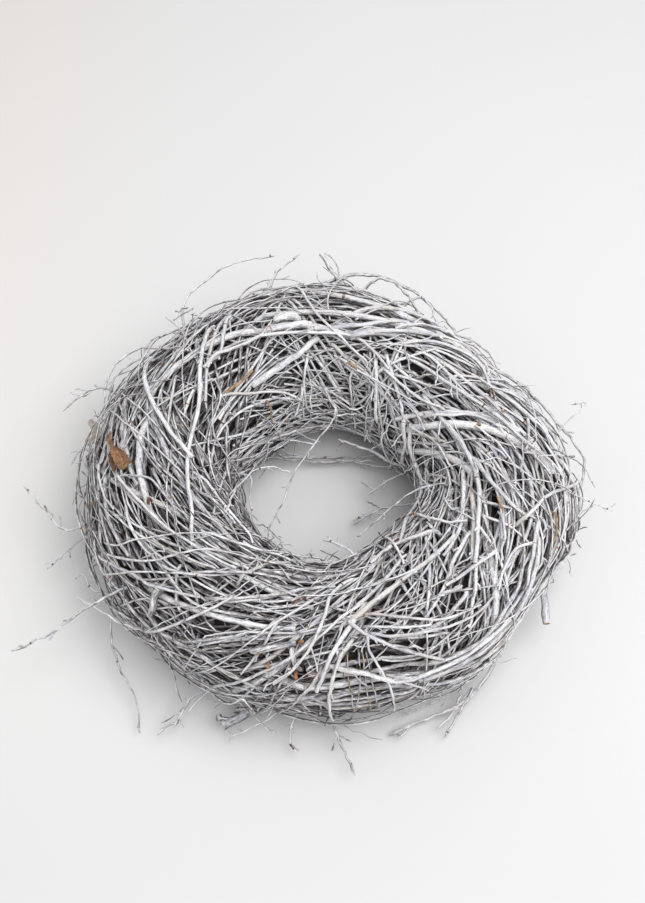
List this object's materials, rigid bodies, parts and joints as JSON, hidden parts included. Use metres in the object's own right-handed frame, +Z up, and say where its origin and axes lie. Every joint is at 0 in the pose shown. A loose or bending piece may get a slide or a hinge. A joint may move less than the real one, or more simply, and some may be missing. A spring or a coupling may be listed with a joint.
{
  "type": "whitewashed twig wreath",
  "caption": "Round wreath of whitewashed twigs in overlapping bunches wired round a bent rod hoop, with stray twigs standing out, lying flat on its back.",
  "frame": {"origin": "on the surface the wreath lies on, under the middle of the box round the whole wreath with its stray twigs", "axes": "+Z up, out of the face of the wreath; -Y towards the picture's viewer, where the wire winding is; +X to the viewer's right"},
  "size_m": [0.4756, 0.4328, 0.1341],
  "materials": {
    "whitewashed_twig": "thin matt white wash over grey-brown bark, worn at the buds and cut ends",
    "inner_rod": "bare bark, out of sight inside the bunches",
    "binding_wire": "thin brass-coloured wire, partly painted over",
    "dry_leaf": "dry brown leaf, matt"
  },
  "bodies": {
    "root": {"hoop": "inner_rod", "bunch_01": "whitewashed_twig", "neck_wire_01": "binding_wire", "bunch_02": "whitewashed_twig", "neck_wire_02": "binding_wire", "bunch_03": "whitewashed_twig", "neck_wire_03": "binding_wire", "bunch_04": "whitewashed_twig", "neck_wire_04": "binding_wire", "bunch_05": "whitewashed_twig", "neck_wire_05": "binding_wire", "bunch_06": "whitewashed_twig", "neck_wire_06": "binding_wire", "bunch_07": "whitewashed_twig", "neck_wire_07": "binding_wire", "bunch_08": "whitewashed_twig", "neck_wire_08": "binding_wire", "bunch_09": "whitewashed_twig", "neck_wire_09": "binding_wire", "bunch_10": "whitewashed_twig", "neck_wire_10": "binding_wire", "bunch_11": "whitewashed_twig", "neck_wire_11": "binding_wire", "bunch_12": "whitewashed_twig", "neck_wire_12": "binding_wire", "stray_upper_left_arc": "whitewashed_twig", "stray_left_high": "whitewashed_twig", "stray_left_long": "whitewashed_twig", "stray_left_short": "whitewashed_twig", "stray_lower_left_long": "whitewashed_twig", "stray_lower_left_over": "whitewashed_twig", "stray_lower_left_fall": "whitewashed_twig", "stray_front_left_tuft": "whitewashed_twig", "stray_front_broken_branch": "whitewashed_twig", "stray_front_hook": "whitewashed_twig", "stray_front_spike": "whitewashed_twig", "stray_front_right_branch": "whitewashed_twig", "stray_right_stub": "whitewashed_twig", "stray_right_fine": "whitewashed_twig", "stray_right_high": "whitewashed_twig", "stray_top_stub": "whitewashed_twig", "stray_top_left": "whitewashed_twig", "front_winding": "binding_wire", "dry_leaf": "dry_leaf"}
  },
  "joints": []
}
